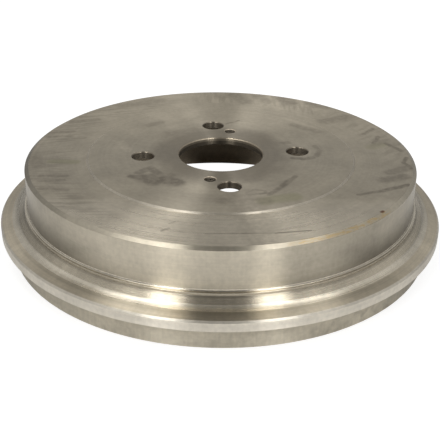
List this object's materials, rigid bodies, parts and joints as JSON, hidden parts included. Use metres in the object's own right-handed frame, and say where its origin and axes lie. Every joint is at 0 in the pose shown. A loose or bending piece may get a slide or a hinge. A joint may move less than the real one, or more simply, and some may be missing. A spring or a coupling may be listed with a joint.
{
  "type": "brake drum",
  "caption": "Turned iron brake drum, open below, with a stepped outer flange, a centre bore, wheel stud holes and tapped jacking holes.",
  "frame": {"origin": "centre of the open rim, on the plane that the drum stands on", "axes": "+Z along the drum's axis and out of the wheel seat; a stud hole lies on each of +X, +Y, -X and -Y"},
  "size_m": [0.284, 0.284, 0.0568],
  "materials": {
    "turned_iron": "fine turned grey iron, bare, with light oil stains"
  },
  "bodies": {
    "root": {"brake_drum": "turned_iron"}
  },
  "joints": []
}
